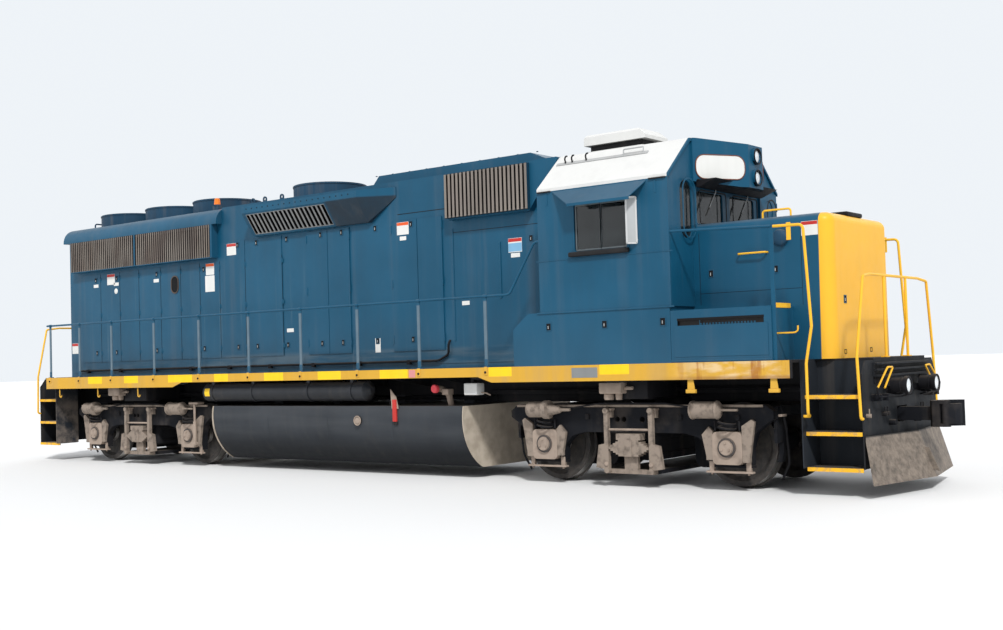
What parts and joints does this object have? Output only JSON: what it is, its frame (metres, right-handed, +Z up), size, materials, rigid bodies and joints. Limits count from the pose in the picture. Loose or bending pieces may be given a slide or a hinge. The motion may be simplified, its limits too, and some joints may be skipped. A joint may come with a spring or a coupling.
{
  "type": "diesel locomotive",
  "caption": "Hood-unit diesel locomotive with a low short hood, hollow cab, roof fans, swivelling two-axle trucks, swinging couplers and hinged cab and engine doors.",
  "frame": {"origin": "on the plane of the wheel flanges' lowest points, below the middle of the locomotive", "axes": "+X forwards along the track (short hood leading), +Y to its left, +Z up"},
  "size_m": [18.034, 3.528, 4.7681],
  "materials": {
    "blue_paint": "semi-gloss paint, a little chalky and dusty",
    "yellow_paint": "semi-gloss paint",
    "white_paint": "matt heat-reflecting paint",
    "black_frame": "worn black paint with road dust",
    "tank_paint": "worn dark grey paint",
    "grey_paint": "satin grey paint",
    "grille_steel": "faded paint with brown dust",
    "truck_iron": "dusty, oily casting",
    "wheel_steel": "rolled tread bright, the rest brown",
    "window_glass": "tinted safety glass",
    "seat_cloth": "dark woven cloth"
  },
  "bodies": {
    "carbody": {"underframe": "black_frame", "steps": "black_frame", "front_pilot": "black_frame", "rear_pilot": "black_frame", "fuel_tank": "tank_paint", "air_reservoirs": "tank_paint", "cab_base": "blue_paint", "short_hood": "yellow_paint", "cab_shell": "blue_paint", "cab_roof": "white_paint", "cab_glass": "window_glass", "cab_seats": "seat_cloth", "control_stand": "grey_paint", "air_conditioner": "white_paint", "sunshades": "blue_paint", "hood_shell": "blue_paint", "hood_roof": "blue_paint", "radiator_grilles": "grille_steel", "brake_blister": "blue_paint", "intake_grilles": "grille_steel", "engine_block": "grey_paint", "fan_housings": "blue_paint", "handrails_sides": "blue_paint", "handrails_ends": "yellow_paint", "lamp_housing": "blue_paint", "ditch_lights": "black_frame", "roof_fittings": "grey_paint"},
    "truck_front": {"truck_front_frame": "truck_iron", "truck_front_suspension": "truck_iron", "truck_front_journal_boxes": "truck_iron", "truck_front_motors": "truck_iron", "truck_front_brakes": "truck_iron"},
    "truck_rear": {"truck_rear_frame": "truck_iron", "truck_rear_suspension": "truck_iron", "truck_rear_journal_boxes": "truck_iron", "truck_rear_motors": "truck_iron", "truck_rear_brakes": "truck_iron"},
    "wheelset_1": {"wheelset_1": "wheel_steel"},
    "wheelset_2": {"wheelset_2": "wheel_steel"},
    "wheelset_3": {"wheelset_3": "wheel_steel"},
    "wheelset_4": {"wheelset_4": "wheel_steel"},
    "fan_1": {"fan_1": "grey_paint"},
    "fan_2": {"fan_2": "grey_paint"},
    "fan_3": {"fan_3": "grey_paint"},
    "fan_4": {"fan_4": "grey_paint"},
    "coupler_front": {"coupler_front": "truck_iron"},
    "knuckle_front": {"knuckle_front": "truck_iron"},
    "coupler_rear": {"coupler_rear": "truck_iron"},
    "knuckle_rear": {"knuckle_rear": "truck_iron"},
    "cab_door_front": {"cab_door_front": "blue_paint"},
    "cab_door_rear": {"cab_door_rear": "blue_paint"},
    "engine_1_right": {"engine_1_right": "blue_paint"},
    "engine_1_left": {"engine_1_left": "blue_paint"},
    "engine_2_right": {"engine_2_right": "blue_paint"},
    "engine_2_left": {"engine_2_left": "blue_paint"},
    "engine_3_right": {"engine_3_right": "blue_paint"},
    "engine_3_left": {"engine_3_left": "blue_paint"},
    "engine_4_right": {"engine_4_right": "blue_paint"},
    "engine_4_left": {"engine_4_left": "blue_paint"}
  },
  "joints": [
    {"name": "truck_front_swivel", "type": "hinge", "parent": "carbody", "child": "truck_front", "pos_m": [5.1815, 0, 1.11], "axis": [0, 0, 1], "range_deg": [-7, 7]},
    {"name": "truck_rear_swivel", "type": "hinge", "parent": "carbody", "child": "truck_rear", "pos_m": [-5.1815, 0, 1.11], "axis": [0, 0, 1], "range_deg": [-7, 7]},
    {"name": "wheelset_1_roll", "type": "hinge", "parent": "truck_front", "child": "wheelset_1", "pos_m": [6.553, 0, 0.536], "axis": [0, 1, 0], "continuous": true},
    {"name": "wheelset_2_roll", "type": "hinge", "parent": "truck_front", "child": "wheelset_2", "pos_m": [3.81, 0, 0.536], "axis": [0, 1, 0], "continuous": true},
    {"name": "wheelset_3_roll", "type": "hinge", "parent": "truck_rear", "child": "wheelset_3", "pos_m": [-3.81, 0, 0.536], "axis": [0, 1, 0], "continuous": true},
    {"name": "wheelset_4_roll", "type": "hinge", "parent": "truck_rear", "child": "wheelset_4", "pos_m": [-6.553, 0, 0.536], "axis": [0, 1, 0], "continuous": true},
    {"name": "fan_1_spin", "type": "hinge", "parent": "carbody", "child": "fan_1", "pos_m": [-6.856, 0, 4.5], "axis": [0, 0, 1], "continuous": true},
    {"name": "fan_2_spin", "type": "hinge", "parent": "carbody", "child": "fan_2", "pos_m": [-5.448, 0, 4.5], "axis": [0, 0, 1], "continuous": true},
    {"name": "fan_3_spin", "type": "hinge", "parent": "carbody", "child": "fan_3", "pos_m": [-4.04, 0, 4.5], "axis": [0, 0, 1], "continuous": true},
    {"name": "fan_4_spin", "type": "hinge", "parent": "carbody", "child": "fan_4", "pos_m": [-1.376, 0, 4.5], "axis": [0, 0, 1], "continuous": true},
    {"name": "coupler_front_swing", "type": "hinge", "parent": "carbody", "child": "coupler_front", "pos_m": [7.95, 0, 0.904], "axis": [0, 0, 1], "range_deg": [-8, 8]},
    {"name": "knuckle_front_open", "type": "hinge", "parent": "coupler_front", "child": "knuckle_front", "pos_m": [8.862, -0.095, 0.904], "axis": [0, 0, -1], "range_deg": [0, 50]},
    {"name": "coupler_rear_swing", "type": "hinge", "parent": "carbody", "child": "coupler_rear", "pos_m": [-7.95, 0, 0.904], "axis": [0, 0, 1], "range_deg": [-8, 8]},
    {"name": "knuckle_rear_open", "type": "hinge", "parent": "coupler_rear", "child": "knuckle_rear", "pos_m": [-8.862, 0.095, 0.904], "axis": [0, 0, -1], "range_deg": [0, 50]},
    {"name": "cab_door_front_open", "type": "hinge", "parent": "carbody", "child": "cab_door_front", "pos_m": [6.0855, 1.45, 3.1], "axis": [0, 0, 1], "range_deg": [0, 90]},
    {"name": "cab_door_rear_open", "type": "hinge", "parent": "carbody", "child": "cab_door_rear", "pos_m": [4.0245, -1.45, 3.1], "axis": [0, 0, 1], "range_deg": [0, 90]},
    {"name": "engine_1_right_open", "type": "hinge", "parent": "carbody", "child": "engine_1_right", "pos_m": [-0.993, -0.9435, 2.843], "axis": [0, 0, -1], "range_deg": [0, 140]},
    {"name": "engine_1_left_open", "type": "hinge", "parent": "carbody", "child": "engine_1_left", "pos_m": [-0.993, 0.9435, 2.843], "axis": [0, 0, 1], "range_deg": [0, 140]},
    {"name": "engine_2_right_open", "type": "hinge", "parent": "carbody", "child": "engine_2_right", "pos_m": [-0.029, -0.9435, 2.843], "axis": [0, 0, 1], "range_deg": [0, 140]},
    {"name": "engine_2_left_open", "type": "hinge", "parent": "carbody", "child": "engine_2_left", "pos_m": [-0.029, 0.9435, 2.843], "axis": [0, 0, -1], "range_deg": [0, 140]},
    {"name": "engine_3_right_open", "type": "hinge", "parent": "carbody", "child": "engine_3_right", "pos_m": [0.876, -0.9435, 2.843], "axis": [0, 0, -1], "range_deg": [0, 140]},
    {"name": "engine_3_left_open", "type": "hinge", "parent": "carbody", "child": "engine_3_left", "pos_m": [0.876, 0.9435, 2.843], "axis": [0, 0, 1], "range_deg": [0, 140]},
    {"name": "engine_4_right_open", "type": "hinge", "parent": "carbody", "child": "engine_4_right", "pos_m": [1.883, -0.9435, 2.843], "axis": [0, 0, 1], "range_deg": [0, 140]},
    {"name": "engine_4_left_open", "type": "hinge", "parent": "carbody", "child": "engine_4_left", "pos_m": [1.883, 0.9435, 2.843], "axis": [0, 0, -1], "range_deg": [0, 140]}
  ]
}
